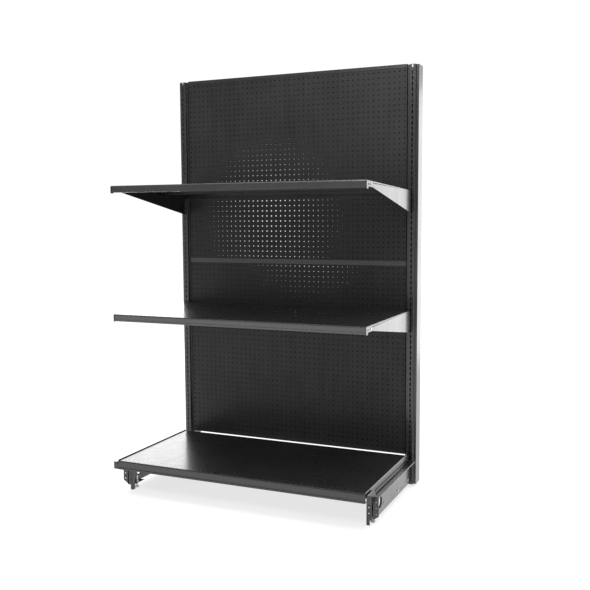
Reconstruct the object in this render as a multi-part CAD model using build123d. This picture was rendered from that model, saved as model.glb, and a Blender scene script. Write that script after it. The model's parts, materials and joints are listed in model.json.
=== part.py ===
from build123d import *
import os

# One starter bay of single-sided gondola shelving. Millimetres, +Z up, the shopper
# stands on the -Y side. The origin is on the floor, in the middle of the footprint.
INCH = 25.4

# Overall grid
slot_column_spacing = 48.0 * INCH
upright_top = 78.0 * INCH
hole_pitch = 1.0 * INCH
hole_columns = 46
first_hole_row_z = upright_top - 1.05 * INCH

# Depths, measured back from the front face of the front panels
slot_face_depth = -0.41 * INCH
shoulder_front_depth = 0.13 * INCH
shoulder_rear_depth = 2.83 * INCH
rear_slot_face_depth = 3.37 * INCH
rear_panel_depth = 2.10 * INCH
front_reach = 25.65 * INCH
panel_face_y = (front_reach - rear_slot_face_depth) / 2

# Uprights
upright_half_width = 27.0
rib_half_width = 15.2
upright_wall = 2.0
upright_bottom = 0.5 * INCH
upright_bend_radius = 2.5
slot_width = 6.4
slot_height = 0.72 * INCH
slot_pitch = 1.0 * INCH
first_slot_z = upright_top - 0.45 * INCH
slot_count = 75

# Sheet gauges
panel_sheet = 0.9
pan_sheet = 1.2
rail_sheet = 1.5
bracket_plate = 2.6
web_sheet = 1.9

# Panels
front_panel_half_width = 581.8
rear_panel_half_width = 581.8
rear_panel_flange = 12.0
front_panel_return = 7.0
peg_hole_radius = 0.125 * INCH
panel_top_z = first_hole_row_z + 1.0 * INCH
panel_split_z = first_hole_row_z - 34.92 * INCH
panel_bottom_z = first_hole_row_z - 70.9 * INCH
upper_rows = 35
lower_rows = 35
lower_first_row_z = first_hole_row_z - 35.85 * INCH
rear_lower_hole_shift = 0.1 * INCH

# Rails between the uprights
rail_half_length = slot_column_spacing / 2 - upright_half_width
top_rail_top_z = first_hole_row_z + 1.2 * INCH
rail_lip = 0.66 * INCH
centre_rail_face = 0.93 * INCH
rail_front_gap = 0.5
bottom_rail_height = 32.0
end_plate = 2.0
rail_screw_radius = 3.0

# Shelves and deck
pan_half_width = 606.2
pan_side_flange = 20.0
pan_rear_flange = 25.0
pan_bend_radius = 2.4
shelf_rear_depth = -1.0 * INCH
shelf_front_height = 1.25 * INCH
shelf_above_slot = 0.89 * INCH
lower_shelf_slot = 45
upper_shelf_slot = 23
upper_shelf_tilt = 2.2
deck_top_z = 6.45 * INCH
deck_rear_depth = -2.05 * INCH
deck_front_height = 1.6 * INCH
channel_projection = 4.0
fence_hole_radius = 2.4

# Shelf brackets and their hooks
bracket_rear_height = 4.15 * INCH
bracket_tip_height = 1.35 * INCH
bracket_nose_height = 1.0 * INCH
hook_neck = 9.0
hook_clearance = 0.3
hook_drop = 7.0
lug_height = 10.0
ledge_width = 12.0

# Base brackets: two channels back to back on a hook plate
hook_plate = 5.0
base_front_depth = -22.3 * INCH
base_rear_depth = -0.7 * INCH
base_top_z = 5.05 * INCH
base_bottom_z = 0.95 * INCH
base_flange = upright_half_width
base_lip = 5.0
base_leg_bottom_z = 2.0
leg_return = 17.0
base_hole_radius = 1.0 * INCH
bolt_radius = 4.0

# Levellers
stud_radius = 5.0
nut_bore_radius = 5.1
foot_radius = 11.0
foot_height = 6.0
front_stud_depth = -20.4 * INCH
front_stud_inset = 14.5
rear_stud_depth = 1.48 * INCH

COLUMN_X = slot_column_spacing / 2
SIDES = {"left": -1, "right": 1}


def depth(value):
    """Y position of a depth that is measured back from the panel face."""
    return panel_face_y + value


def block(x, y, z):
    """Box between (low, high) pairs."""
    size = (x[1] - x[0], y[1] - y[0], z[1] - z[0])
    return Pos(x[0], y[0], z[0]) * Box(*size, align=(Align.MIN, Align.MIN, Align.MIN))


def span(a, b):
    """The pair (low, high) of two numbers."""
    return (min(a, b), max(a, b))


def prism_x(points, x0, x1):
    """Solid with a closed (y, z) outline, reaching from x0 to x1."""
    low, high = span(x0, x1)
    outline = Wire.make_polygon([Vector(low, y, z) for y, z in points], close=True)
    return extrude(Face(outline), amount=high - low, dir=(1, 0, 0))


def cylinder_x(x0, x1, y, z, radius):
    low, high = span(x0, x1)
    middle = Pos((low + high) / 2, y, z)
    return middle * Rot(0, 90, 0) * Cylinder(radius, high - low)


def cylinder_z(x, y, z0, z1, radius):
    return Pos(x, y, (z0 + z1) / 2) * Cylinder(radius, z1 - z0)


def hexagon_x(x0, x1, y, z, across_flats):
    low, high = span(x0, x1)
    outline = RegularPolygon(across_flats / 2, 6, major_radius=False)
    return Pos(low, y, z) * Rot(0, 90, 0) * extrude(outline, amount=high - low)


def hexagon_z(x, y, z0, z1, across_flats):
    outline = RegularPolygon(across_flats / 2, 6, major_radius=False)
    return Pos(x, y, z0) * extrude(outline, amount=z1 - z0)


def save(name, shape):
    """Write one node; a list of solids becomes a group."""
    if isinstance(shape, list):
        shape = Compound(children=shape)
    export_step(shape, f"parts/{name}.step")


def slot_z(index):
    """Height of a slot's centre, counted down from the top slot."""
    return first_slot_z - index * slot_pitch


def sheet_with_holes(x, z, y0, centres, radius, thickness):
    """Upright sheet in the XZ plane, starting at y0 and going back, with round holes."""
    corners = [(x[0], z[0]), (x[1], z[0]), (x[1], z[1]), (x[0], z[1])]
    outer = Wire.make_polygon([Vector(cx, y0, cz) for cx, cz in corners], close=True)
    holes = []
    for cx, cz in centres:
        holes.append(Wire.make_circle(radius, Plane((cx, y0, cz), x_dir=(1, 0, 0), z_dir=(0, 1, 0))))
    return extrude(Face(outer, holes), amount=thickness, dir=(0, 1, 0))


# Uprights

def upright(column):
    outline = [
        (-rib_half_width, slot_face_depth),
        (rib_half_width, slot_face_depth),
        (rib_half_width, shoulder_front_depth),
        (upright_half_width, shoulder_front_depth),
        (upright_half_width, shoulder_rear_depth),
        (rib_half_width, shoulder_rear_depth),
        (rib_half_width, rear_slot_face_depth),
        (-rib_half_width, rear_slot_face_depth),
        (-rib_half_width, shoulder_rear_depth),
        (-upright_half_width, shoulder_rear_depth),
        (-upright_half_width, shoulder_front_depth),
        (-rib_half_width, shoulder_front_depth),
    ]
    section = make_face(Polyline(*outline, close=True))
    section = fillet(section.vertices(), upright_bend_radius)
    section = section - offset(section, -upright_wall)
    tube = extrude(section, amount=upright_top - upright_bottom)
    tube = Pos(column, panel_face_y, upright_bottom) * tube
    slots = []
    for index in range(slot_count):
        z = slot_z(index)
        x = (column - slot_width / 2, column + slot_width / 2)
        y = (depth(slot_face_depth) - 1, depth(rear_slot_face_depth) + 1)
        slots.append(block(x, y, (z - slot_height / 2, z + slot_height / 2)))
    tube = tube - slots
    inward = -1 if column > 0 else 1
    drills = []
    for z in RAIL_SCREW_HEIGHTS:
        for y in RAIL_SCREW_DEPTHS:
            wall = (column, column + inward * (upright_half_width + 1))
            drills.append(cylinder_x(*wall, depth(y), z, rail_screw_radius + 0.1))
    for z in REAR_PANEL_SCREW_HEIGHTS:
        wall = (column, column + inward * (upright_half_width + 1))
        drills.append(cylinder_x(*wall, REAR_SCREW_Y, z, rail_screw_radius + 0.1))
    return tube - drills


def foot_plate(column):
    """Plate welded inside the foot of an upright, drilled for its leveller."""
    half = upright_half_width - upright_wall - 0.2
    y = (depth(shoulder_front_depth) + upright_wall + 0.2, depth(shoulder_rear_depth) - upright_wall - 0.2)
    plate = block((column - half, column + half), y, (upright_bottom + 4, upright_bottom + 8))
    hole_y = depth(rear_stud_depth)
    return plate - cylinder_z(column, hole_y, upright_bottom, upright_bottom + 12, stud_radius + 0.5)


RAIL_SCREW_DEPTHS = (16.0, 40.0)
RAIL_SCREW_HEIGHTS = (
    top_rail_top_z - 0.55 * INCH,
    panel_split_z - 9.0,
    panel_bottom_z + 20.0,
)
REAR_PANEL_SCREW_HEIGHTS = (
    panel_bottom_z + 6 * INCH,
    panel_split_z - 6 * INCH,
    panel_split_z + 6 * INCH,
    panel_top_z - 6 * INCH,
)
REAR_SCREW_Y = depth(rear_panel_depth + 7.0)


# Rails

def end_plates(z0, z1, screw_z):
    """Plates that close both ends of a rail and take its screws."""
    plates = []
    for side in SIDES.values():
        x = span(side * (rail_half_length - end_plate), side * rail_half_length)
        plate = block(x, (depth(8), depth(49)), (z0, z1))
        for y in RAIL_SCREW_DEPTHS:
            plate -= cylinder_x(*x, depth(y), screw_z, rail_screw_radius + 0.1)
        plates.append(plate)
    return plates


def top_rail():
    """Cap rail: an upside-down channel over the top edges of the panels."""
    front = depth(-rail_front_gap - rail_sheet)
    rear = depth(rear_panel_depth + rear_panel_flange + 2.0)
    top = top_rail_top_z
    low = top - rail_lip
    t = rail_sheet
    section = [
        (front, low), (front, top), (rear, top), (rear, low),
        (rear - t, low), (rear - t, top - t), (front + t, top - t), (front + t, low),
    ]
    rail = prism_x(section, -rail_half_length, rail_half_length)
    outer_edges = rail.edges().filter_by(Axis.X).filter_by_position(Axis.Z, top - 0.1, top + 0.1)
    rail = fillet(outer_edges, 1.2)
    return rail + end_plates(RAIL_SCREW_HEIGHTS[0] - 12, top - t, RAIL_SCREW_HEIGHTS[0])


def centre_rail():
    """H rail between the upper and the lower panels; its front strip covers their seam."""
    front = depth(-rail_front_gap - rail_sheet)
    rear = depth(rear_panel_depth + rear_panel_flange + 2.0)
    low = panel_split_z - centre_rail_face / 2
    high = panel_split_z + centre_rail_face / 2
    half = rail_sheet / 2
    web_low = panel_split_z - half
    web_high = panel_split_z + half
    section = [
        (front, low), (front, high), (front + rail_sheet, high), (front + rail_sheet, web_high),
        (rear - rail_sheet, web_high), (rear - rail_sheet, high), (rear, high), (rear, low),
        (rear - rail_sheet, low), (rear - rail_sheet, web_low),
        (front + rail_sheet, web_low), (front + rail_sheet, low),
    ]
    rail = prism_x(section, -rail_half_length, rail_half_length)
    return rail + end_plates(RAIL_SCREW_HEIGHTS[1] - 9, web_low, RAIL_SCREW_HEIGHTS[1])


def bottom_rail():
    """Rectangular tube that carries the feet of both lower panels."""
    z = (panel_bottom_z + 4, panel_bottom_z + 4 + bottom_rail_height)
    y = (depth(front_panel_return + 0.5), depth(rear_panel_depth - 0.5))
    x = (-rail_half_length, rail_half_length)
    tube = block(x, y, z)
    tube -= block(x, (y[0] + rail_sheet, y[1] - rail_sheet), (z[0] + rail_sheet, z[1] - rail_sheet))
    return tube + end_plates(z[0] + rail_sheet, z[1] - rail_sheet, RAIL_SCREW_HEIGHTS[2])


def screw_x(side, x_head, y, z, reach):
    """Screw along X: its head lies inboard of x_head, its shank runs outboard."""
    shank = cylinder_x(side * x_head, side * (x_head + reach), y, z, rail_screw_radius)
    head = cylinder_x(side * (x_head - 3), side * x_head, y, z, rail_screw_radius * 1.8)
    return shank + head


def rail_screws():
    screws = []
    for side in SIDES.values():
        for z in RAIL_SCREW_HEIGHTS:
            for y in RAIL_SCREW_DEPTHS:
                screws.append(screw_x(side, rail_half_length - end_plate, depth(y), z, 10))
    return screws


# Panels

def hole_centres(rows, first_z, shift=0.0):
    """Outer ring of the peg-hole grid, which fixes its extent; the inner holes repeat it at hole_pitch."""
    first_x = -(hole_columns - 1) / 2 * hole_pitch + shift
    centres = []
    for row in range(rows):
        for column in range(hole_columns):
            if row in (0, rows - 1) or column in (0, hole_columns - 1):
                centres.append((first_x + column * hole_pitch, first_z - row * hole_pitch))
    return centres


def front_panel(z0, z1, rows, first_z):
    """Peg panel between the uprights, with narrow returns down both sides."""
    half = front_panel_half_width
    panel = sheet_with_holes((-half, half), (z0, z1), depth(0), hole_centres(rows, first_z),
                             peg_hole_radius, panel_sheet)
    for side in SIDES.values():
        x = span(side * (half - panel_sheet), side * half)
        panel += block(x, (depth(0), depth(front_panel_return)), (z0, z1))
    return panel


def rear_panel(z0, z1, rows, first_z, shift):
    """Perforated back sheet between the uprights, with flanges turned to the rear."""
    half = rear_panel_half_width
    panel = sheet_with_holes((-half, half), (z0, z1), depth(rear_panel_depth),
                             hole_centres(rows, first_z, shift), peg_hole_radius, panel_sheet)
    y = (depth(rear_panel_depth), depth(rear_panel_depth + rear_panel_flange))
    for side in SIDES.values():
        flange = block(span(side * (half - panel_sheet), side * half), y, (z0, z1))
        for z in REAR_PANEL_SCREW_HEIGHTS:
            if z0 < z < z1:
                flange -= cylinder_x(side * (half - 5), side * (half + 5), REAR_SCREW_Y, z,
                                     rail_screw_radius + 0.1)
        panel += flange
    return panel


def rear_panel_screws():
    screws = []
    for side in SIDES.values():
        for z in REAR_PANEL_SCREW_HEIGHTS:
            screws.append(screw_x(side, rear_panel_half_width - panel_sheet, REAR_SCREW_Y, z, 12))
    return screws


# Pans, price channels and ribs

def pan(top_z, front_depth, rear_depth, front_height, rear_flange):
    """Folded tray: top sheet, front, rear and side flanges, and front fence holes."""
    front = depth(front_depth)
    rear = depth(rear_depth)
    t = pan_sheet
    section = [
        (front, top_z), (rear, top_z), (rear, top_z - rear_flange),
        (rear - t, top_z - rear_flange), (rear - t, top_z - t), (front + t, top_z - t),
        (front + t, top_z - front_height + t), (front + 14, top_z - front_height + t),
        (front + 14, top_z - front_height), (front, top_z - front_height),
    ]
    half = pan_half_width
    body = prism_x(section, -half, half)
    for side in SIDES.values():
        x = span(side * (half - t), side * half)
        body += block(x, (front + t, rear - t), (top_z - pan_side_flange, top_z - t / 2))
    top_edges = body.edges().filter_by_position(Axis.Z, top_z - 0.01, top_z + 0.01)
    body = fillet(top_edges, t * 0.9)
    drills = []
    first_x = -(hole_columns - 1) / 2 * hole_pitch
    for row in range(2):
        for column in range(hole_columns):
            x = first_x + column * hole_pitch
            y = front + 10 + row * hole_pitch
            drills.append(cylinder_z(x, y, top_z - 3, top_z + 1, fence_hole_radius))
    return body - drills


def price_channel(top_z, front_depth, height):
    """Ticket channel across the front: a back strip with a lip along each edge."""
    back = depth(front_depth) - 0.05
    t = 1.0
    front = back - channel_projection
    low = top_z - height
    high = top_z - 1.5
    section = [
        (back, low), (back, high), (back - 2.4, high), (back - 3.2, high - 3.5),
        (back - 3.2 + t, high - 4.0), (back - t - 0.8, high - 1.2), (back - t, high - 1.2),
        (back - t, low + t), (front + t, low + t), (front + t, low + 8.0),
        (front, low + 8.0), (front, low),
    ]
    return prism_x(section, -pan_half_width, pan_half_width)


def rib(top_z, y, width, height, half_length):
    """Hat-section stiffener along the underside of a pan."""
    t = pan_sheet
    top = top_z - pan_sheet
    brim = 9.0
    left = y - width / 2
    right = y + width / 2
    low = top - height
    section = [
        (left - brim, top), (left + t, top), (left + t, low + t), (right - t, low + t),
        (right - t, top), (right + brim, top), (right + brim, top - t), (right, top - t),
        (right, low), (left, low), (left, top - t), (left - brim, top - t),
    ]
    return prism_x(section, -half_length, half_length)


# Shelf brackets

def bracket_outline(top_z, pivot_z):
    """Side view of a bracket with its top hook and two lower lugs, in (y, z)."""
    face = depth(slot_face_depth)
    rear = face - 1.0
    front = depth(-front_reach) + 0.4
    behind = face + upright_wall
    low = top_z - bracket_rear_height
    nose_x = behind + 3.0
    outline = [
        (front, top_z - 1.0), (front, top_z - bracket_tip_height),
        (front + 0.75 * INCH, top_z - bracket_tip_height),
        (front + 0.85 * INCH, top_z - bracket_nose_height),
        (front + 3.0 * INCH, top_z - bracket_nose_height), (rear, low),
    ]
    for step in (3, 2):
        z = pivot_z - hook_clearance - step * slot_pitch + 3.5
        outline += [
            (rear, z), (behind + 3.0, z + 1.5), (behind + 3.0, z + lug_height - 2.5),
            (rear, z + lug_height),
        ]
    outline += [
        (rear, pivot_z - 6), (face - 0.5, pivot_z), (behind, pivot_z),
        (nose_x, pivot_z - 0.2), (nose_x, pivot_z - hook_drop),
        (nose_x + 4.5, pivot_z - hook_drop + 1.5), (nose_x + 4.5, pivot_z + hook_neck - 4),
        (nose_x, pivot_z + hook_neck), (rear, pivot_z + hook_neck),
        (rear - 10.5, top_z - 1.0),
    ]
    return outline


def bracket(side, top_z, pivot_z):
    inner = pan_half_width + 0.5
    outer = inner + bracket_plate
    plate = prism_x(bracket_outline(top_z, pivot_z), side * inner, side * outer)
    front = depth(-front_reach)
    plate -= cylinder_x(side * inner, side * outer, front + 0.85 * INCH, top_z - 0.6 * INCH, 4.0)
    plate -= cylinder_x(side * inner, side * outer, front + 2.2 * INCH, top_z - 0.5 * INCH, 3.2)
    ledge_top = top_z - pan_side_flange - 0.5
    x = span(side * (inner - ledge_width), side * (inner + 0.5))
    y = (front + 5.5 * INCH, depth(shelf_rear_depth) - pan_sheet - 1.0)
    plate += block(x, y, (ledge_top - bracket_plate, ledge_top))
    return plate


def bracket_screws(top_z):
    """One screw per bracket, through the plate and the side flange of the pan."""
    screws = []
    for side in SIDES.values():
        y = depth(-front_reach) + 2.2 * INCH
        z = top_z - 0.5 * INCH
        outer = pan_half_width + 0.5 + bracket_plate
        shank = cylinder_x(side * (pan_half_width - 8), side * outer, y, z, 3.0)
        head = cylinder_x(side * outer, side * (outer + 2.2), y, z, 5.2)
        screws.append(shank + head)
    return screws


def pan_with_screw_holes(body, top_z):
    """Drill both side flanges of a shelf pan for the bracket screws."""
    y = depth(-front_reach) + 2.2 * INCH
    z = top_z - 0.5 * INCH
    return body - cylinder_x(-pan_half_width - 1, pan_half_width + 1, y, z, 3.1)


def shelf(name, slot_index, tilt):
    """Write the pieces of one shelf, hooked in a slot and tipped up by tilt degrees."""
    pivot_z = slot_z(slot_index) - slot_height / 2 + hook_clearance
    top_z = slot_z(slot_index) + shelf_above_slot
    pan_front = -front_reach + channel_projection + 0.05
    body = pan(top_z, pan_front, shelf_rear_depth, shelf_front_height - 1.5, pan_rear_flange)
    pieces = {
        "pan": pan_with_screw_holes(body, top_z),
        "price_channel": price_channel(top_z, pan_front, shelf_front_height),
        "bracket_left": bracket(-1, top_z, pivot_z),
        "bracket_right": bracket(1, top_z, pivot_z),
    }
    for rib_name, rib_depth in (("rib_front", -17.5 * INCH), ("rib_rear", -9.0 * INCH)):
        pieces[rib_name] = rib(top_z, depth(rib_depth), 30.0, 14.0, pan_half_width - 14)
    pivot = Axis((0, depth(slot_face_depth) + upright_wall, pivot_z), (1, 0, 0))
    for piece_name, shape in pieces.items():
        save(f"{name}_{piece_name}", shape.rotate(pivot, -tilt))
    save(f"{name}_screws", [screw.rotate(pivot, -tilt) for screw in bracket_screws(top_z)])
    print(name, "top", round(top_z, 1), "hinge y, z", round(pivot.position.Y, 2), round(pivot_z, 2))


# Base

def base_web_outline(with_nose):
    """Side view of a base channel's web, in (y, z)."""
    front = depth(base_front_depth)
    rear = depth(slot_face_depth) - 1.0
    if not with_nose:
        return [(front, base_bottom_z), (rear, base_bottom_z), (rear, base_top_z), (front, base_top_z)]
    tip = depth(-front_reach) + 3.0
    return [
        (front, base_bottom_z), (rear, base_bottom_z), (rear, base_top_z),
        (front + 36, base_top_z), (front + 2, deck_top_z - 6), (tip, deck_top_z - 6),
        (tip, deck_top_z - deck_front_height), (front, base_top_z - 34),
    ]


BASE_BOLT_PLACES = (
    (base_rear_depth - 1.6 * INCH, base_top_z - 0.9 * INCH),
    (base_rear_depth - 1.6 * INCH, base_bottom_z + 0.9 * INCH),
    (base_rear_depth - 7.9 * INCH, base_top_z - 0.9 * INCH),
    (base_rear_depth - 7.9 * INCH, base_bottom_z + 0.9 * INCH),
)


FLANGE_HOLE_HEIGHTS = (2.1 * INCH, 3.1 * INCH, 4.1 * INCH)


def base_channel(side, outer):
    """One half of a base bracket: web, top flange and front flange.

    The outer half also has the nose beside the deck front; the inner half has the
    leg and the tab that takes the front leveller.
    """
    turn = side if outer else -side
    web_x0 = side * COLUMN_X + turn * hook_plate / 2
    web_x1 = web_x0 + turn * web_sheet
    edge = side * COLUMN_X + turn * base_flange
    front = depth(base_front_depth)
    channel = prism_x(base_web_outline(outer), web_x0, web_x1)
    flange_x = span(web_x0, edge)
    channel += block(flange_x, (front, depth(base_rear_depth)), (base_top_z - web_sheet, base_top_z))
    lip_x = span(edge - turn * web_sheet, edge)
    channel += block(lip_x, (front, depth(base_rear_depth)), (base_top_z - base_lip, base_top_z))
    if outer:
        shape = [(web_x0, base_bottom_z + 4), (edge, base_bottom_z + 0.8 * INCH), (edge, base_top_z),
                 (web_x0, base_top_z)]
        tip = depth(-front_reach) + 3.0
        nose_z = (deck_top_z - deck_front_height, deck_top_z - 6)
        channel += block(span(web_x0, web_x0 + turn * 0.72 * INCH), (tip, tip + web_sheet), nose_z)
    else:
        notch_x = edge - turn * 15
        shape = [(web_x0, base_bottom_z), (notch_x, base_bottom_z), (notch_x, base_leg_bottom_z),
                 (edge, base_leg_bottom_z), (edge, base_top_z), (web_x0, base_top_z)]
        tab = block(flange_x, (front, front + 3.6 * INCH), (base_bottom_z, base_bottom_z + web_sheet))
        tab -= cylinder_z(side * (COLUMN_X - front_stud_inset), depth(front_stud_depth),
                          base_bottom_z - 1, base_bottom_z + 4, stud_radius + 0.5)
        channel += tab
        channel += block(lip_x, (front, front + leg_return), (base_leg_bottom_z, base_top_z))
    outline = Wire.make_polygon([Vector(x, front, z) for x, z in shape], close=True)
    channel += extrude(Face(outline), amount=web_sheet, dir=(0, 1, 0))
    for z in FLANGE_HOLE_HEIGHTS:
        centre = Pos(web_x0 + turn * base_flange / 2, front, z)
        channel -= centre * Rot(90, 0, 0) * Cylinder(2.6, 4 * web_sheet)
    channel -= cylinder_x(web_x0, web_x1, depth(-18.8 * INCH), 3.0 * INCH, base_hole_radius)
    for y, z in ((-16.9, 4.2), (-16.9, 2.35), (-21.0, 1.9)):
        channel -= cylinder_x(web_x0, web_x1, depth(y * INCH), z * INCH, 3.6)
    for y, z in BASE_BOLT_PLACES:
        channel -= cylinder_x(web_x0, web_x1, depth(y), z, bolt_radius + 0.1)
    return channel


def base_hook_plate(side):
    """Plate between the two webs, with three hooks that drop into the slots."""
    face = depth(slot_face_depth)
    rear = face - 1.0
    behind = face + upright_wall + 0.4
    low = base_bottom_z + 6
    high = base_top_z - 6
    front = depth(base_rear_depth - 9.0 * INCH)
    outline = [(front, low), (rear, low)]
    for index in (slot_count - 1, slot_count - 2):
        seat = slot_z(index) - slot_height / 2
        outline += [
            (rear, seat + 0.2), (behind, seat + 0.2), (behind, seat - 5), (behind + 4, seat - 4),
            (behind + 4, seat + 8), (rear, seat + 10),
        ]
    outline += [(rear, high), (front + 20, high), (front, high - 20)]
    column = side * COLUMN_X
    plate = prism_x(outline, column - hook_plate / 2, column + hook_plate / 2)
    for y, z in BASE_BOLT_PLACES:
        plate -= cylinder_x(column - hook_plate, column + hook_plate, depth(y), z, bolt_radius + 0.1)
    return plate


def base_bolts_and_nuts():
    bolts = []
    nuts = []
    stack = hook_plate / 2 + web_sheet
    for side in SIDES.values():
        column = side * COLUMN_X
        for y, z in BASE_BOLT_PLACES:
            shank = cylinder_x(column - side * (stack + 7), column + side * stack, depth(y), z, bolt_radius)
            head = cylinder_x(column + side * stack, column + side * (stack + 2.5), depth(y), z, 7.0)
            bolts.append(shank + head)
            nut_x = (column - side * stack, column - side * (stack + 5))
            nut = hexagon_x(*nut_x, depth(y), z, 13.0)
            nut -= cylinder_x(*nut_x, depth(y), z, bolt_radius + 0.05)
            nuts.append(nut)
    return bolts, nuts


def leveller(x, y, top):
    """Threaded stud, drawn plain, with a round foot and a hexagon to turn it by."""
    foot = cylinder_z(x, y, 0, foot_height, foot_radius)
    foot = fillet(foot.edges().filter_by(GeomType.CIRCLE), 1.2)
    stud = cylinder_z(x, y, foot_height, top, stud_radius)
    return foot + stud + hexagon_z(x, y, foot_height, foot_height + 4.5, 13.0)


def leveller_nut(x, y, z0):
    nut = hexagon_z(x, y, z0, z0 + 8.0, 17.0)
    return nut - cylinder_z(x, y, z0, z0 + 8.0, nut_bore_radius)


def levellers():
    nuts = []
    for name, side in SIDES.items():
        front_x = side * (COLUMN_X - front_stud_inset)
        front_y = depth(front_stud_depth)
        rear_y = depth(rear_stud_depth)
        save(f"leveller_front_{name}", leveller(front_x, front_y, 55.0))
        save(f"leveller_rear_{name}", leveller(side * COLUMN_X, rear_y, 42.0))
        nuts.append(leveller_nut(front_x, front_y, base_bottom_z + web_sheet))
        nuts.append(leveller_nut(side * COLUMN_X, rear_y, upright_bottom + 8))
    save("leveller_nuts", nuts)


def deck():
    pan_front = -front_reach + channel_projection + 0.05
    body = pan(deck_top_z, pan_front, deck_rear_depth, deck_front_height - 1.5, pan_rear_flange)
    save("base_deck", body)
    save("deck_front_channel", price_channel(deck_top_z, pan_front, deck_front_height))
    for rib_name, rib_depth in (("deck_rib_front", -17.5 * INCH), ("deck_rib_rear", -9.5 * INCH)):
        save(rib_name, rib(deck_top_z, depth(rib_depth), 30.0, 22.0, 575.0))
    for name, side in SIDES.items():
        x = span(side * 583.0, side * 602.0)
        y = (depth(pan_front) + 60, depth(deck_rear_depth) - 6)
        bearer = block(x, y, (base_top_z, deck_top_z - pan_sheet))
        inside = (x[0] + pan_sheet, x[1] - pan_sheet)
        bearer -= block(inside, y, (base_top_z + pan_sheet, deck_top_z - pan_sheet))
        save(f"deck_bearer_{name}", bearer)


os.makedirs("parts", exist_ok=True)
for side_name, side_sign in SIDES.items():
    save(f"upright_{side_name}", upright(side_sign * COLUMN_X))
    save(f"foot_plate_{side_name}", foot_plate(side_sign * COLUMN_X))
    save(f"base_channel_{side_name}_outer", base_channel(side_sign, True))
    save(f"base_channel_{side_name}_inner", base_channel(side_sign, False))
    save(f"base_hook_plate_{side_name}", base_hook_plate(side_sign))
save("top_rail", top_rail())
save("centre_rail", centre_rail())
save("bottom_rail", bottom_rail())
save("rail_screws", rail_screws())
seam = rail_sheet / 2 + 0.2
upper = (panel_split_z + seam, panel_top_z)
lower = (panel_bottom_z, panel_split_z - seam)
save("front_panel_upper", front_panel(*upper, upper_rows, first_hole_row_z))
save("front_panel_lower", front_panel(*lower, lower_rows, lower_first_row_z))
save("rear_panel_upper", rear_panel(*upper, upper_rows, first_hole_row_z, 0.0))
save("rear_panel_lower", rear_panel(*lower, lower_rows, lower_first_row_z, rear_lower_hole_shift))
save("rear_panel_screws", rear_panel_screws())
base_bolts, base_nuts = base_bolts_and_nuts()
save("base_bolts", base_bolts)
save("base_nuts", base_nuts)
levellers()
deck()
shelf("lower_shelf", lower_shelf_slot, 0.0)
shelf("upper_shelf", upper_shelf_slot, upper_shelf_tilt)
print("panel face y", round(panel_face_y, 2))
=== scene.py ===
"""Looks for the gondola shelving unit: materials, softened edges, light and camera."""
import bpy
import bmesh
import json
import math
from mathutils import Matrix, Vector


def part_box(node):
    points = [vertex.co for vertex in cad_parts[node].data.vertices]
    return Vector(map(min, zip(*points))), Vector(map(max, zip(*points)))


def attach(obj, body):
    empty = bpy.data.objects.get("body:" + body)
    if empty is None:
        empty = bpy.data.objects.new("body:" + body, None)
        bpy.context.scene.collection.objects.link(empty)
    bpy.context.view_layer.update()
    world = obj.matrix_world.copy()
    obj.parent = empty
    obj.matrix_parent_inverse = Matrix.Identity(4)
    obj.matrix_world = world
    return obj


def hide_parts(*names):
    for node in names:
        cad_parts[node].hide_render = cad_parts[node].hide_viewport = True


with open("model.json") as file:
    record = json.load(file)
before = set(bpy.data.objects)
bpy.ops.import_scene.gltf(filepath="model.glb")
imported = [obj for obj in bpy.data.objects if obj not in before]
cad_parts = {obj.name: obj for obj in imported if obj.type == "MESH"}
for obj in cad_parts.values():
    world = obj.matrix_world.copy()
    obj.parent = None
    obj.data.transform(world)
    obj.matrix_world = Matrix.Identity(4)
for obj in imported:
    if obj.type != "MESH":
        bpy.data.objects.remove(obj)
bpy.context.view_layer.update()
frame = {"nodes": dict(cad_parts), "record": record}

ZINC = "zinc_plated_steel"
SIDES = {"left": -1, "right": 1}
slot_of = {part["node"]: part["material_slot"] for part in frame["record"]["subparts"]}
body_of = {}
for body, nodes_in_body in frame["record"]["behaviour"]["bodies"].items():
    for node in nodes_in_body:
        body_of[node] = body

# Peg-hole grid of one panel, and the sheet that it is pressed in
HOLE_PITCH = 0.0254
HOLE_RADIUS = HOLE_PITCH / 8
HOLE_COLUMNS = 46
HOLE_ROWS = 35
RIM_STEPS = 12
SHEET = 0.0009
MICROMETRES = 1e6

# A lower panel starts this far below the middle of the seam between the panels
SEAM_GAP = 0.00095

# From a panel's top edge down to its first row of holes
UPPER_MARGIN = HOLE_PITCH
LOWER_MARGIN = 0.93 * HOLE_PITCH - SEAM_GAP

# The lower rear panel's holes stand this far to the right of the other panels' holes
REAR_LOWER_SHIFT = 0.1 * HOLE_PITCH

# Lip along each side of the base deck; it starts a little under the deck's top
LIP_WIDTH = 0.003
LIP_HEIGHT = 0.0045
LIP_SINK = 0.0002
LIP_STEPS = 8

# Rounding of folded edges
WELD_DISTANCE = 0.00002
SHARP_ANGLE = math.radians(35)
CHANNEL_EDGE = 0.0007
BRACKET_EDGE = 0.0006
RAIL_EDGE = 0.0005
STRIP_EDGE = 0.0004


# Materials

def new_material(name):
    material = bpy.data.materials.new(name)
    material.use_nodes = True
    nodes = material.node_tree.nodes
    return material, nodes, material.node_tree.links, nodes["Principled BSDF"]


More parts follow.
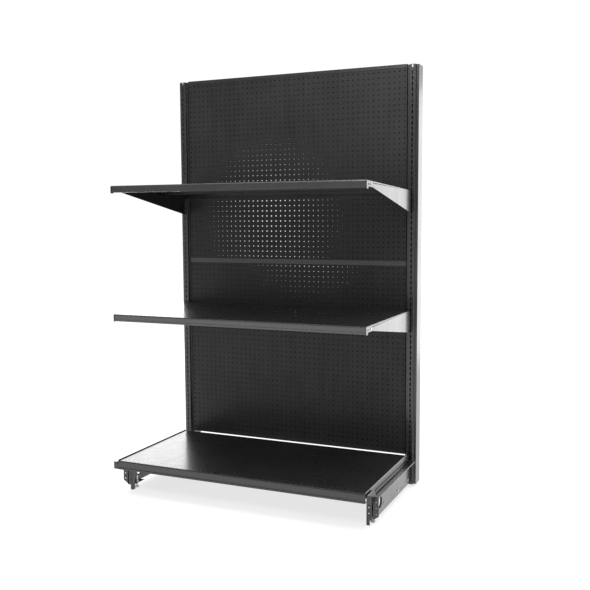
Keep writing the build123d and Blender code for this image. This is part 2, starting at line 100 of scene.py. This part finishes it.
def noise(nodes, links, scale, detail, stretch=None):
    """Noise texture in object space, so it stays on the piece as the piece moves."""
    place = nodes.new("ShaderNodeTexCoord")
    texture = nodes.new("ShaderNodeTexNoise")
    texture.inputs["Scale"].default_value = scale
    texture.inputs["Detail"].default_value = detail
    if stretch is None:
        links.new(place.outputs["Object"], texture.inputs["Vector"])
    else:
        mapping = nodes.new("ShaderNodeMapping")
        mapping.inputs["Scale"].default_value = stretch
        links.new(place.outputs["Object"], mapping.inputs["Vector"])
        links.new(mapping.outputs["Vector"], texture.inputs["Vector"])
    return texture.outputs["Fac"]


def spread(nodes, links, value, low, high, start=0.3, end=0.7):
    """Map a value from start..end to low..high."""
    node = nodes.new("ShaderNodeMapRange")
    node.inputs["From Min"].default_value = start
    node.inputs["From Max"].default_value = end
    node.inputs["To Min"].default_value = low
    node.inputs["To Max"].default_value = high
    links.new(value, node.inputs["Value"])
    return node.outputs["Result"]


def two_tone(nodes, links, value, first, second):
    """Colour that goes from first to second as a noise value rises past its middle."""
    ramp = nodes.new("ShaderNodeValToRGB")
    ramp.color_ramp.elements[0].position = 0.35
    ramp.color_ramp.elements[1].position = 0.65
    ramp.color_ramp.elements[0].color = (*first, 1.0)
    ramp.color_ramp.elements[1].color = (*second, 1.0)
    links.new(value, ramp.inputs["Fac"])
    return ramp.outputs["Color"]


def bump(nodes, links, height, strength, distance, after=None):
    node = nodes.new("ShaderNodeBump")
    node.inputs["Strength"].default_value = strength
    node.inputs["Distance"].default_value = distance
    links.new(height, node.inputs["Height"])
    if after is not None:
        links.new(after, node.inputs["Normal"])
    return node.outputs["Normal"]


def powder_coat(name, dark, light, rough, specular, coat):
    """Baked powder coat: charcoal black with orange peel, fine grain and faint rub marks."""
    material, nodes, links, shader = new_material(name)
    broad = noise(nodes, links, scale=5.0, detail=4.0)
    links.new(two_tone(nodes, links, broad, dark, light), shader.inputs["Base Color"])
    rubs = noise(nodes, links, scale=22.0, detail=6.0, stretch=(1.0, 1.0, 0.25))
    links.new(spread(nodes, links, rubs, *rough), shader.inputs["Roughness"])
    peel_height = noise(nodes, links, scale=420.0, detail=2.0)
    peel = bump(nodes, links, peel_height, strength=0.03, distance=0.0003)
    grain_height = noise(nodes, links, scale=2200.0, detail=2.0)
    grain = bump(nodes, links, grain_height, strength=0.015, distance=0.0001, after=peel)
    links.new(grain, shader.inputs["Normal"])
    shader.inputs["IOR"].default_value = 1.5
    shader.inputs["Specular IOR Level"].default_value = specular
    shader.inputs["Coat Weight"].default_value = coat
    shader.inputs["Coat Roughness"].default_value = 0.16
    shader.inputs["Coat IOR"].default_value = 1.5
    return material


def zinc_plate():
    """Bright zinc plate: metal with a fine directional grain and duller patches."""
    material, nodes, links, shader = new_material("zinc_plate")
    patches = noise(nodes, links, scale=60.0, detail=4.0)
    colours = two_tone(nodes, links, patches, (0.50, 0.51, 0.53), (0.60, 0.60, 0.59))
    links.new(colours, shader.inputs["Base Color"])
    shader.inputs["Metallic"].default_value = 1.0
    grain = noise(nodes, links, scale=500.0, detail=3.0, stretch=(1.0, 1.0, 6.0))
    links.new(spread(nodes, links, grain, 0.25, 0.45), shader.inputs["Roughness"])
    links.new(bump(nodes, links, grain, strength=0.08, distance=0.0002), shader.inputs["Normal"])
    return material


def studio_floor():
    """Pale floor that glows a little, so that it stays as white as the background."""
    material, nodes, links, shader = new_material("studio_floor")
    cloud = noise(nodes, links, scale=0.6, detail=2.0)
    colours = two_tone(nodes, links, cloud, (0.30, 0.30, 0.30), (0.32, 0.32, 0.32))
    links.new(colours, shader.inputs["Base Color"])
    shader.inputs["Emission Color"].default_value = (1.0, 1.0, 1.0, 1.0)
    shader.inputs["Emission Strength"].default_value = 0.74
    shader.inputs["Roughness"].default_value = 0.9
    shader.inputs["Specular IOR Level"].default_value = 0.1
    return material


BLACK = (0.010, 0.010, 0.011)
CHARCOAL = (0.014, 0.014, 0.015)
# The price channels get a lighter copy of the black powder coat: painted light, standing in for the
# sheen that their front faces catch.
LIT_STRIP_DARK = (0.012, 0.012, 0.013)
LIT_STRIP_LIGHT = (0.017, 0.017, 0.018)
SATIN = powder_coat("powder_coat_satin", BLACK, CHARCOAL, rough=(0.36, 0.46), specular=0.35, coat=0.05)
GLOSS = powder_coat("powder_coat_gloss", BLACK, CHARCOAL, rough=(0.26, 0.34), specular=0.50, coat=0.60)
LIT_STRIP = powder_coat("powder_coat_strip_painted_light", LIT_STRIP_DARK, LIT_STRIP_LIGHT,
                    rough=(0.24, 0.32), specular=0.80, coat=1.00)
PLATED = zinc_plate()
FLOOR = studio_floor()


def finish_for(node):
    """The panels are duller than the rest of the paint; the price channels are shinier, and their
    lighter colour is painted light.
    """
    if slot_of[node] == ZINC:
        return PLATED
    if "price_channel" in node:
        return LIT_STRIP
    if "panel" in node:
        return SATIN
    return GLOSS


def add_piece(name, mesh, node, replaces=True):
    """Add a mesh that has its node's body, slot and finish, and that may stand for the node."""
    piece = bpy.data.objects.new(name, mesh)
    bpy.context.scene.collection.objects.link(piece)
    mesh.materials.clear()
    mesh.materials.append(finish_for(node))
    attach(piece, body_of[node])
    if replaces:
        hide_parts(node)
    return piece


# Folded parts with rounded edges

def softened(node, width):
    """A copy of a folded sheet part with its sharp edges rounded, as paint and bends leave them."""
    mesh = frame["nodes"][node].data.copy()
    work = bmesh.new()
    work.from_mesh(mesh)
    bmesh.ops.remove_doubles(work, verts=work.verts, dist=WELD_DISTANCE)
    work.to_mesh(mesh)
    work.free()
    for attribute in ("custom_normal", "sharp_face"):
        if attribute in mesh.attributes:
            mesh.attributes.remove(mesh.attributes[attribute])
    for polygon in mesh.polygons:
        polygon.use_smooth = False
    rounding = add_piece(node + "_formed", mesh, node).modifiers.new("rounding", "BEVEL")
    rounding.width = width
    rounding.segments = 2
    rounding.limit_method = "ANGLE"
    rounding.angle_limit = SHARP_ANGLE


# Perforated panels

class Sheet:
    """Mesh of an upright sheet: a front and a back face in XZ, whose cells share their corners."""

    def __init__(self, front, back):
        self.work = bmesh.new()
        self.front = front
        self.back = back
        self.known = {}

    def point(self, x, z, y):
        key = tuple(round(place * MICROMETRES) for place in (x, z, y))
        if key not in self.known:
            self.known[key] = self.work.verts.new((x, y, z))
        return self.known[key]

    def both_sides(self, outline):
        self.work.faces.new([self.point(x, z, self.front) for x, z in outline])
        self.work.faces.new([self.point(x, z, self.back) for x, z in reversed(outline)])

    def edge_wall(self, first, second):
        corners = [(first, self.front), (second, self.front), (second, self.back), (first, self.back)]
        self.work.faces.new([self.point(x, z, y) for (x, z), y in corners])


def rim_and_square():
    """Points of a hole's rim, and where the same rays cross its square cell, about their middle."""
    rim = []
    square = []
    for step in range(RIM_STEPS):
        angle = 2 * math.pi * step / RIM_STEPS
        across, up = math.cos(angle), math.sin(angle)
        reach = HOLE_PITCH / 2 / max(abs(across), abs(up))
        rim.append((HOLE_RADIUS * across, HOLE_RADIUS * up))
        square.append((reach * across, reach * up))
    return rim, square


def cell_breaks(square):
    """Offsets, from end to end, at which the faces of a cell meet one of its sides."""
    half_cell = HOLE_PITCH / 2
    between = {round(offset, 9) for offset, _ in square if not math.isclose(abs(offset), half_cell)}
    return sorted(between | {-half_cell, half_cell})


def add_cell(sheet, x, z, rim, square):
    """One hole and the sheet around it, out to half a pitch."""
    half_cell = HOLE_PITCH / 2
    for step in range(RIM_STEPS):
        after = (step + 1) % RIM_STEPS
        inner = [(x + rim[k][0], z + rim[k][1]) for k in (after, step)]
        outer = [(x + square[k][0], z + square[k][1]) for k in (step, after)]
        spans_corner = step % (RIM_STEPS // 4) == RIM_STEPS // 8
        if spans_corner:
            corner = (x + math.copysign(half_cell, outer[0][0] + outer[1][0] - 2 * x),
                      z + math.copysign(half_cell, outer[0][1] + outer[1][1] - 2 * z))
            outer.insert(1, corner)
        sheet.both_sides(inner + outer)
        sheet.edge_wall(inner[0], inner[1])


def add_margins(sheet, columns, rows, edge_x, edge_z, breaks):
    """Plain sheet from the outer cells to the four edges."""
    half_cell = HOLE_PITCH / 2
    for way in (-1, 1):
        grid_z = (rows[-1] if way < 0 else rows[0]) + way * half_cell
        grid_x = (columns[0] if way < 0 else columns[-1]) + way * half_cell
        for x in columns:
            near = [(x + offset, grid_z) for offset in breaks][::-way]
            far = [(near[-1][0], edge_z[way]), (near[0][0], edge_z[way])]
            sheet.both_sides((near + far)[::-1])
            sheet.edge_wall(far[0], far[1])
        for z in rows:
            near = [(grid_x, z + offset) for offset in breaks][::way]
            far = [(edge_x[way], near[-1][1]), (edge_x[way], near[0][1])]
            sheet.both_sides((near + far)[::-1])
            sheet.edge_wall(far[0], far[1])
        for other in (-1, 1):
            corner_x = (columns[0] if other < 0 else columns[-1]) + other * half_cell
            loop = [(corner_x, grid_z), (edge_x[other], grid_z),
                    (edge_x[other], edge_z[way]), (corner_x, edge_z[way])]
            sheet.both_sides(loop if other * way > 0 else loop[::-1])
            sheet.edge_wall(loop[1], loop[2])
            sheet.edge_wall(loop[2], loop[3])


def add_bar(work, outline, start, end, placed):
    """Closed bar: an outline in u, v swept from start to end along w; placed(u, v, w) is x, y, z."""
    ends = [[work.verts.new(placed(u, v, w)) for u, v in outline] for w in (start, end)]
    for end_points in ends:
        work.faces.new(end_points)
    for k in range(len(outline)):
        after = (k + 1) % len(outline)
        work.faces.new((ends[0][k], ends[0][after], ends[1][after], ends[1][k]))


def finished(work, name):
    """Mesh data from the work so far, with every face turned outward."""
    bmesh.ops.recalc_face_normals(work, faces=work.faces)
    mesh = bpy.data.meshes.new(name)
    work.to_mesh(mesh)
    work.free()
    return mesh


def perforated_sheet(node, top_margin, shift):
    """A pressed panel: its sheet with every hole, and the two flanges that are turned to the rear."""
    low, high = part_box(node)
    left = shift - (HOLE_COLUMNS - 1) / 2 * HOLE_PITCH
    top = high.z - top_margin
    columns = [left + column * HOLE_PITCH for column in range(HOLE_COLUMNS)]
    rows = [top - row * HOLE_PITCH for row in range(HOLE_ROWS)]
    edge_x = {-1: low.x, 1: high.x}  # -1 is the left or lower edge, 1 the right or upper
    edge_z = {-1: low.z, 1: high.z}
    rim, square = rim_and_square()
    sheet = Sheet(low.y, low.y + SHEET)
    for z in rows:
        for x in columns:
            add_cell(sheet, x, z, rim, square)
    add_margins(sheet, columns, rows, edge_x, edge_z, cell_breaks(square))
    for way in (-1, 1):
        outer = edge_x[way]
        inner = outer - way * SHEET
        flange = ((outer, sheet.back), (inner, sheet.back), (inner, high.y), (outer, high.y))
        add_bar(sheet.work, flange, low.z, high.z, lambda x, y, z: (x, y, z))
    name = node + "_sheet"
    add_piece(name, finished(sheet.work, name), node)


# Base deck's side lips

def deck_lip(side, way):
    """Folded lip with a round top along one side of the base deck."""
    low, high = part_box("base_deck")
    radius = LIP_WIDTH / 2
    edge = high.x if way > 0 else low.x
    middle = edge - way * radius
    top = high.z + LIP_HEIGHT - radius
    foot = high.z - LIP_SINK
    outline = [(middle - radius, foot)]
    for step in range(LIP_STEPS + 1):
        angle = math.pi * (1 - step / LIP_STEPS)
        outline.append((middle + radius * math.cos(angle), top + radius * math.sin(angle)))
    outline.append((middle + radius, foot))
    work = bmesh.new()
    add_bar(work, outline, low.y, high.y, lambda x, z, y: (x, y, z))
    name = "deck_lip_" + side
    add_piece(name, finished(work, name), "base_deck", replaces=False)


for node in slot_of:
    for place in frame["nodes"][node].material_slots:
        place.material = finish_for(node)

perforated_sheet("front_panel_upper", UPPER_MARGIN, 0.0)
perforated_sheet("front_panel_lower", LOWER_MARGIN, 0.0)
perforated_sheet("rear_panel_upper", UPPER_MARGIN, 0.0)
perforated_sheet("rear_panel_lower", LOWER_MARGIN, REAR_LOWER_SHIFT)
for side in SIDES:
    for half in ("outer", "inner"):
        softened(f"base_channel_{side}_{half}", CHANNEL_EDGE)
    for shelf in ("lower_shelf", "upper_shelf"):
        softened(f"{shelf}_bracket_{side}", BRACKET_EDGE)
for node in ("lower_shelf_price_channel", "upper_shelf_price_channel", "deck_front_channel"):
    softened(node, STRIP_EDGE)
for node in ("centre_rail", "top_rail"):
    softened(node, RAIL_EDGE)
for side, way in SIDES.items():
    deck_lip(side, way)


# Floor, light and camera

def studio_stage(half):
    mesh = bpy.data.meshes.new("floor")
    corners = [(-half, -half, 0), (half, -half, 0), (half, half, 0), (-half, half, 0)]
    mesh.from_pydata(corners, [], [(0, 1, 2, 3)])
    floor = bpy.data.objects.new("floor", mesh)
    bpy.context.scene.collection.objects.link(floor)
    mesh.materials.append(FLOOR)


def studio_world():
    """White studio: bright behind the unit, dimmer on the shopper's side."""
    world = bpy.data.worlds.new("studio")
    world.use_nodes = True
    nodes = world.node_tree.nodes
    links = world.node_tree.links
    place = nodes.new("ShaderNodeTexCoord")
    split = nodes.new("ShaderNodeSeparateXYZ")
    links.new(place.outputs["Generated"], split.inputs["Vector"])
    level = spread(nodes, links, split.outputs["Y"], low=0.32, high=1.05, start=-0.6, end=0.5)
    background = nodes["Background"]
    background.inputs["Color"].default_value = (1.0, 1.0, 1.0, 1.0)
    links.new(level, background.inputs["Strength"])
    bpy.context.scene.world = world


def softbox(name, place, target, size, watts):
    data = bpy.data.lights.new(name, "AREA")
    data.shape = "RECTANGLE"
    data.size, data.size_y = size
    data.energy = watts
    light = bpy.data.objects.new(name, data)
    light.location = place
    aim = Vector(target) - Vector(place)
    light.rotation_euler = aim.to_track_quat("-Z", "Y").to_euler()
    light.visible_camera = False
    bpy.context.scene.collection.objects.link(light)


def ceiling_glow(strength, width_degrees, lean_degrees):
    """Wide light from above and a little behind that keeps the floor white."""
    data = bpy.data.lights.new("ceiling", "SUN")
    data.energy = strength
    data.angle = math.radians(width_degrees)
    light = bpy.data.objects.new("ceiling", data)
    light.rotation_euler = (math.radians(lean_degrees), 0.0, 0.0)
    bpy.context.scene.collection.objects.link(light)


def camera_at(place, turn_degrees, focal):
    data = bpy.data.cameras.new("camera")
    data.sensor_width = 36.0
    data.lens = focal
    camera = bpy.data.objects.new("camera", data)
    camera.location = place
    camera.rotation_euler = [math.radians(angle) for angle in turn_degrees]
    bpy.context.scene.collection.objects.link(camera)
    bpy.context.scene.camera = camera


studio_stage(half=60.0)
studio_world()
softbox("back_right", place=(2.1, 3.6, 1.10), target=(0.6, 0.0, 1.0), size=(2.2, 2.6), watts=27.0)
softbox("back_left", place=(-3.2, 3.4, 1.5), target=(-0.4, -0.2, 0.6), size=(2.4, 2.4), watts=34.0)
softbox("overhead", place=(0.0, -0.6, 4.2), target=(0.0, 0.0, 0.0), size=(4.0, 3.0), watts=160.0)
softbox("front_top", place=(0.6, -3.6, 3.4), target=(0.0, -0.3, 0.8), size=(2.6, 1.2), watts=75.0)
ceiling_glow(strength=1.5, width_degrees=60.0, lean_degrees=-25.0)
camera_at(place=(1.6697, -3.4751, 1.2870), turn_degrees=(84.63, 0.31, 23.77), focal=50.49)
bpy.context.scene.view_settings.view_transform = "Standard"
